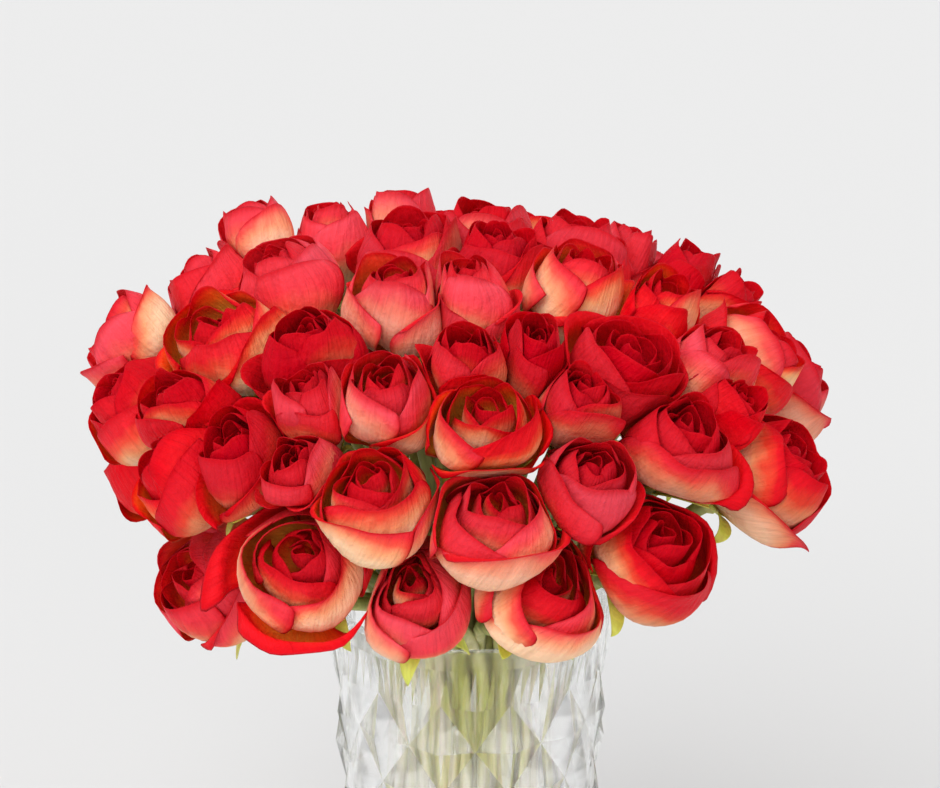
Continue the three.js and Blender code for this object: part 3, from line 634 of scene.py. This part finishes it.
bump = nodes.new("ShaderNodeBump")
bump.inputs["Strength"].default_value = 0.2
bump.inputs["Distance"].default_value = 0.0006
links.new(streaks.outputs["Fac"], bump.inputs["Height"])
links.new(bump.outputs[0], shader.inputs["Normal"])

# --- Stems ---
# A stem is a round wire in tape. It stands on the vase's floor, is held in the bundle at the waist, bends
# out over the rim and ends in a swelling that its rose sits on.
STEM_RADIUS = 2.8
STEM_CLIMB = 62.0
STEM_HOLD = 0.3
STEM_STEPS = 12
SEAT_GAP = 0.6
SEPAL_THICKNESS = 3.4
BASE_THICKNESS = 12.0
WAIST_HEIGHT = VASE_HEIGHT - 42
WAIST_RADIUS = 30.0
FLOOR_SPREAD = 1.25
for rose in roses:
    rose["seat"] = press(rose, rose["base"][None, :])[0]
order = sorted(roses, key=lambda rose: math.hypot(rose["seat"][0] - DOME_CENTRE[0], rose["seat"][1]))
rings = math.ceil(math.sqrt(len(order) / 3))
taken = 0
for ring in range(1, rings + 1):
    up_to = round(len(order) * ring * ring / (rings * rings))
    sideways = {id(rose): math.atan2(rose["seat"][1], rose["seat"][0] - DOME_CENTRE[0])
                for rose in order[taken:up_to]}
    row = sorted(order[taken:up_to], key=lambda rose: sideways[id(rose)])
    first = sum(sideways[id(rose)] - k * 2 * math.pi / len(row) for k, rose in enumerate(row)) / len(row)
    for k, rose in enumerate(row):
        turn = first + k * 2 * math.pi / len(row)
        reach = WAIST_RADIUS * (ring - 0.5) / (rings - 0.5)
        rose["waist"] = np.array([reach * math.cos(turn), reach * math.sin(turn), WAIST_HEIGHT])
    taken = up_to

stem_curve = bpy.data.curves.new("stem_run", "CURVE")
stem_curve.dimensions = "3D"
stem_curve.bevel_depth = STEM_RADIUS / 1000
stem_curve.bevel_resolution = 1
stem_curve.use_fill_caps = True
for rose in roses:
    top = rose["seat"] - SEAT_GAP * rose["axis"]
    neck = top - SEPAL_THICKNESS * rose["axis"]
    floor_end = rose["waist"] * np.array([FLOOR_SPREAD, FLOOR_SPREAD, 0])
    floor_end[2] = BASE_THICKNESS + SEAT_GAP
    rising = (rose["waist"] - floor_end) / np.linalg.norm(rose["waist"] - floor_end)
    over_rim = (neck[2] - VASE_HEIGHT - 2 * STEM_RADIUS) / max(rose["axis"][2], 0.1)
    hold = min(STEM_HOLD * np.linalg.norm(neck - rose["waist"]), over_rim)
    handles = (rose["waist"], rose["waist"] + rising * STEM_CLIMB, neck - rose["axis"] * hold, neck)
    path = [(floor_end, 1.0), ((floor_end + rose["waist"]) / 2, 1.0)]
    for t in np.linspace(0, 1, STEM_STEPS):
        weights = ((1 - t) ** 3, 3 * t * (1 - t) ** 2, 3 * t * t * (1 - t), t ** 3)
        path.append((sum(w * h for w, h in zip(weights, handles)), 1.0))
    # It swells under its rose. The second number of each point is the share of STEM_RADIUS there.
    path[-1] = (neck, 1.25)
    path.append((neck + 2.2 * rose["axis"], 1.9))
    path.append((top + 3.0 * rose["axis"], 1.7))
    spline = stem_curve.splines.new("POLY")
    spline.points.add(len(path) - 1)
    for point, (spot, swell) in zip(spline.points, path):
        point.co = (*(spot / 1000), 1)
        point.radius = swell
curve_object = bpy.data.objects.new("stem_run", stem_curve)
scene.collection.objects.link(curve_object)
worked_out = curve_object.evaluated_get(bpy.context.evaluated_depsgraph_get())
stem_data = bpy.data.meshes.new_from_object(worked_out)
bpy.data.objects.remove(curve_object)
stem_data.name = "stems"
mesh = bmesh.new()
mesh.from_mesh(stem_data)
bmesh.ops.remove_doubles(mesh, verts=mesh.verts, dist=1e-6)
bmesh.ops.recalc_face_normals(mesh, faces=mesh.faces)
mesh.to_mesh(stem_data)
mesh.free()
stem_data.polygons.foreach_set("use_smooth", [True] * len(stem_data.polygons))
stem_data.materials.clear()
stem_data.materials.append(green)
stems = bpy.data.objects.new("stems", stem_data)
scene.collection.objects.link(stems)
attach(stems, "root")
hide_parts("stems_and_sepals")

# --- Sepals ---
# Five pointed leaves of thin cloth are fixed under each rose. Some are bent away from it, and those of the
# lowest roses hang down, clear of the vase's rim.
SEPALS = 5
SEPAL_HALF_WIDTH = 4.6
SEPAL_CLOTH = 0.6
BEND = 26  # how far a tip may be bent down, and how far the lowest roses' tips hang
HANG_IN_FULL, HANG_FROM = 30, 55  # heights over the rim
OVER_VASE, RIM_CLEARANCE = 60, 2
SEPAL_PLACES, SEPAL_SHARES = (0, 0.25, 0.5, 0.8, 1), (0.8, 1, 0.85, 0.42, 0.03)
mesh = bmesh.new()
leafy_layer = mesh.verts.layers.float.new("leafy")
luck = random.Random(21)
for rose in roses:
    start = luck.uniform(0, 2 * math.pi)
    lowness = (VASE_HEIGHT + HANG_FROM - rose["heart"][2]) / (HANG_FROM - HANG_IN_FULL)
    hang = BEND * min(max(lowness, 0), 1)
    for k in range(SEPALS):
        grid = bmesh.ops.create_grid(mesh, x_segments=4, y_segments=6, size=1)["verts"]
        flat = np.array([vert.co[:] for vert in grid])
        u, s = flat[:, 0], (flat[:, 1] + 1) / 2
        bent = luck.uniform(0, 1) ** 1.2
        length = luck.uniform(0.75, 1.05)
        half_width = SEPAL_HALF_WIDTH * np.interp(s, SEPAL_PLACES, SEPAL_SHARES) * u
        reach = (0.12 + 0.8 * np.sin(s * length * math.pi / 2)) * rose["radius"] + 1.6
        height = (0.5 * s * length) ** 0.9 * 0.8 * ROSE_HEIGHT - 1.5 - BEND * bent * s ** 2
        height = height + 0.8 * np.abs(u) ** 2
        turn = start + k * 2 * math.pi / SEPALS
        x = reach * math.cos(turn) - half_width * math.sin(turn)
        y = reach * math.sin(turn) + half_width * math.cos(turn)
        placed = press(rose, in_place(rose, x, y, height))
        placed[:, 2] -= hang * luck.uniform(0.3, 1) * s ** 2
        over_vase = np.hypot(placed[:, 0], placed[:, 1]) < OVER_VASE
        lifted = np.maximum(placed[:, 2], VASE_HEIGHT + RIM_CLEARANCE)
        placed[:, 2] = np.where(over_vase, lifted, placed[:, 2])
        for vert, spot in zip(grid, placed):
            vert.co = Vector(spot) / 1000
            vert[leafy_layer] = 1
sepal_data = bpy.data.meshes.new("sepals")
mesh.to_mesh(sepal_data)
mesh.free()
sepal_data.polygons.foreach_set("use_smooth", [True] * len(sepal_data.polygons))
sepal_data.materials.append(green)
sepals = bpy.data.objects.new("sepals", sepal_data)
scene.collection.objects.link(sepals)
thick = sepals.modifiers.new("thickness", "SOLIDIFY")
thick.thickness = SEPAL_CLOTH / 1000
thick.offset = -1
soft = sepals.modifiers.new("soft", "SUBSURF")
soft.levels = soft.render_levels = 1
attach(sepals, "root")
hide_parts("stems_and_sepals")

# --- Vase ---
# A tall tapered vase of clear pressed glass, open at the top. Grooves part its outside into four-sided
# studs, its inside is smooth, and it has a plain band at the rim and at the foot.
RIM_RADIUS, FOOT_RADIUS, WALL = 56.5, 47.0, 4.5
DIAMOND_COLUMNS, DIAMOND_PITCH, DIAMOND_ROWS = 12, 20.0, 10
DIAMOND_TURN = math.radians(2.4)
GROOVE_DEPTH, FACET_PROUD = 2.6, 1.2
DIAMOND_TOP = VASE_HEIGHT - 5
BAND_HEIGHT, LIP_ROUND, FOOT_BAND_TOP, FOOT_ROUND = 8.0, 1.4, 9.0, 1.5
SIDES = 2 * DIAMOND_COLUMNS
FINE = 4  # a facet's side is divided into this many, so that the bands meet it evenly


def wall_radius(height):
    return FOOT_RADIUS + (RIM_RADIUS - FOOT_RADIUS) * height / VASE_HEIGHT


def spot_at(turn, radius, height):
    return Vector((radius * math.cos(turn), radius * math.sin(turn), height)) / 1000


def coarse(column, row):
    height = DIAMOND_TOP - row * DIAMOND_PITCH
    crossing = (column + row) % 2 == 0
    radius = wall_radius(height) + (-GROOVE_DEPTH if crossing else FACET_PROUD)
    return spot_at(DIAMOND_TURN + column / SIDES * 2 * math.pi, radius, height)


# Between the coarse corners every facet is flat, so a finer point lies on the triangle that it is in.
def on_facet(column, row, x, y):
    low_left, low_right = coarse(column, row + 1), coarse(column + 1, row + 1)
    top_left, top_right = coarse(column, row), coarse(column + 1, row)
    if (column + row) % 2 == 0:
        if x < y:
            return top_left + (low_right - low_left) * x + (low_left - top_left) * y
        return top_left + (top_right - top_left) * x + (low_right - top_right) * y
    if x + y < 1:
        return top_left + (top_right - top_left) * x + (low_left - top_left) * y
    return low_right + (low_left - low_right) * (1 - x) + (top_right - low_right) * (1 - y)


mesh = bmesh.new()
relief_layer = mesh.verts.layers.float.new("relief")
around = SIDES * FINE
profile = []
for radius, height in (
    (0, 0), (wall_radius(0) - FOOT_ROUND, 0), (wall_radius(0) - 0.4, 0.5), (wall_radius(0), FOOT_ROUND),
    (wall_radius(FOOT_BAND_TOP), FOOT_BAND_TOP),
):
    profile.append([spot_at(DIAMOND_TURN + k / around * 2 * math.pi, radius, height) for k in range(around)])
FINE_ROWS = (DIAMOND_ROWS - 1) * FINE
GROOVES_FROM = len(profile)
for fine_row in range(FINE_ROWS, -1, -1):
    row, part = divmod(fine_row, FINE)
    row, part = (row, part) if row < DIAMOND_ROWS - 1 else (row - 1, FINE)
    profile.append([on_facet(k // FINE, row + 1, (k % FINE) / FINE, part / FINE) for k in range(around)])
top = VASE_HEIGHT
for radius, height in (
    (wall_radius(top - BAND_HEIGHT), top - BAND_HEIGHT), (RIM_RADIUS, top - LIP_ROUND),
    (RIM_RADIUS - 0.4, top - 0.4), (RIM_RADIUS - LIP_ROUND, top), (RIM_RADIUS - WALL + LIP_ROUND, top),
    (RIM_RADIUS - WALL + 0.4, top - 0.4), (RIM_RADIUS - WALL, top - LIP_ROUND),
    (wall_radius(BASE_THICKNESS + 4) - WALL, BASE_THICKNESS + 4),
    (wall_radius(BASE_THICKNESS) - WALL - 4, BASE_THICKNESS), (0, BASE_THICKNESS),
):
    profile.append([spot_at(DIAMOND_TURN + k / around * 2 * math.pi, radius, height) for k in range(around)])
bmesh.ops.create_grid(mesh, x_segments=around, y_segments=len(profile) - 1, size=1)
mesh.verts.ensure_lookup_table()

# The sheet's squares in the grooves' rows are split along the studs' edges, and then it is wrapped round.
for face in list(mesh.faces):
    middle = face.calc_center_median()
    k = int((middle.x + 1) / 2 * around)
    fine_row = GROOVES_FROM + FINE_ROWS - 1 - int((middle.y + 1) / 2 * (len(profile) - 1))
    if 0 <= fine_row < FINE_ROWS:
        slope = 1 if (k // FINE + fine_row // FINE + 1) % 2 == 0 else -1
        across, down = k % FINE, fine_row % FINE
        if across == (down if slope == 1 else FINE - 1 - down):
            ends = sorted(face.verts, key=lambda vert: vert.co.x - slope * vert.co.y)
            bmesh.utils.face_split(face, ends[0], ends[-1])
for vert in mesh.verts:
    k = round((vert.co.x + 1) / 2 * around) % around
    level = round((vert.co.y + 1) / 2 * (len(profile) - 1))
    vert.co = profile[level][k]
    if GROOVES_FROM <= level <= GROOVES_FROM + FINE_ROWS:
        vert[relief_layer] = vert.co.xy.length * 1000 - wall_radius(vert.co.z * 1000)
bmesh.ops.remove_doubles(mesh, verts=mesh.verts, dist=1e-6)
bmesh.ops.dissolve_degenerate(mesh, edges=mesh.edges, dist=1e-6)
bmesh.ops.dissolve_limit(mesh, angle_limit=math.radians(0.3), verts=mesh.verts, edges=mesh.edges)
bmesh.ops.recalc_face_normals(mesh, faces=mesh.faces)
vase_data = bpy.data.meshes.new("glass_vase")
mesh.to_mesh(vase_data)
mesh.free()
vase = bpy.data.objects.new("glass_vase", vase_data)
scene.collection.objects.link(vase)
for polygon in vase_data.polygons:
    middle = polygon.center * 1000
    inside = math.hypot(middle.x, middle.y) < wall_radius(middle.z) - WALL + 1
    polygon.use_smooth = inside or middle.z > top - BAND_HEIGHT or middle.z < FOOT_BAND_TOP

glass = bpy.data.materials.new("clear_glass")
glass.use_nodes = True
nodes, links = glass.node_tree.nodes, glass.node_tree.links
shader = nodes["Principled BSDF"]
shader.inputs["Base Color"].default_value = (0.985, 0.995, 0.99, 1)
shader.inputs["Transmission Weight"].default_value = 1
shader.inputs["IOR"].default_value = 1.36
place = nodes.new("ShaderNodeTexCoord")
ripple = nodes.new("ShaderNodeTexNoise")
ripple.inputs["Scale"].default_value = 45
ripple.inputs["Detail"].default_value = 1
links.new(place.outputs["Object"], ripple.inputs["Vector"])
worn = nodes.new("ShaderNodeMapRange")
worn.inputs["To Min"].default_value = 0.01
worn.inputs["To Max"].default_value = 0.06
links.new(ripple.outputs["Fac"], worn.inputs["Value"])
heights = nodes.new("ShaderNodeSeparateXYZ")
links.new(place.outputs["Object"], heights.inputs[0])
lip_band = nodes.new("ShaderNodeMapRange")
lip_band.inputs["From Min"].default_value = (VASE_HEIGHT - BAND_HEIGHT - 1) / 1000
lip_band.inputs["From Max"].default_value = (VASE_HEIGHT - BAND_HEIGHT + 1) / 1000
lip_band.inputs["To Max"].default_value = 0.16
links.new(heights.outputs["Z"], lip_band.inputs["Value"])
clouded = nodes.new("ShaderNodeMath")
links.new(worn.outputs["Result"], clouded.inputs[0])
links.new(lip_band.outputs["Result"], clouded.inputs[1])
links.new(clouded.outputs[0], shader.inputs["Roughness"])

# The studs shine and bend the light as if they were cut deeper than the wall lets them be.
relief = nodes.new("ShaderNodeAttribute")
relief.attribute_name = "relief"
facets = nodes.new("ShaderNodeBump")
facets.inputs["Distance"].default_value = 0.003
links.new(relief.outputs["Fac"], facets.inputs["Height"])
bump = nodes.new("ShaderNodeBump")
bump.inputs["Strength"].default_value = 0.08
bump.inputs["Distance"].default_value = 0.001
links.new(facets.outputs[0], bump.inputs["Normal"])
links.new(ripple.outputs["Fac"], bump.inputs["Height"])
links.new(bump.outputs[0], shader.inputs["Normal"])

# Some light goes straight through, and the shade that the glass throws is light.
light_path = nodes.new("ShaderNodeLightPath")
see_through = nodes.new("ShaderNodeMath")
see_through.operation = "MULTIPLY_ADD"
see_through.inputs[1].default_value = -0.6
see_through.inputs[2].default_value = 0.68
links.new(light_path.outputs["Is Shadow Ray"], see_through.inputs[0])
links.new(see_through.outputs[0], shader.inputs["Alpha"])
vase_data.materials.append(glass)
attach(vase, "root")
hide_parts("vase")

# --- Stage ---
# A pale seamless ground under soft, bright light: a wide window high on the left, a low one in front, which
# lights the stems in the vase, and a weak one behind.
mesh = bmesh.new()
bmesh.ops.create_circle(mesh, cap_ends=True, segments=64, radius=6)
floor_data = bpy.data.meshes.new("ground")
mesh.to_mesh(floor_data)
mesh.free()
floor = bpy.data.objects.new("ground", floor_data)
floor.location.z = -0.0005
scene.collection.objects.link(floor)
paper = bpy.data.materials.new("paper")
paper.use_nodes = True
paper.node_tree.nodes["Principled BSDF"].inputs["Base Color"].default_value = (0.67, 0.67, 0.67, 1)
paper.node_tree.nodes["Principled BSDF"].inputs["Roughness"].default_value = 0.9
floor_data.materials.append(paper)

world = bpy.data.worlds.new("world")
world.use_nodes = True
world.node_tree.nodes["Background"].inputs["Color"].default_value = (0.92, 0.92, 0.92, 1)
world.node_tree.nodes["Background"].inputs["Strength"].default_value = 0.82
scene.world = world
# Each light has its name, where it shines from, how many degrees wide it is, and its strength.
for name, spot, softness, strength in (
    ("window", (-0.6, -1.0, 1.3), 50, 1.6), ("low_window", (0.1, -1.0, 0.22), 40, 0.55),
    ("back_window", (0.6, 1.0, 1.6), 60, 0.3),
):
    light_data = bpy.data.lights.new(name, "SUN")
    light_data.angle = math.radians(softness)
    light_data.energy = strength
    light = bpy.data.objects.new(name, light_data)
    light.rotation_euler = (-Vector(spot)).to_track_quat("-Z", "Y").to_euler()
    scene.collection.objects.link(light)
scene.view_settings.view_transform = "Standard"
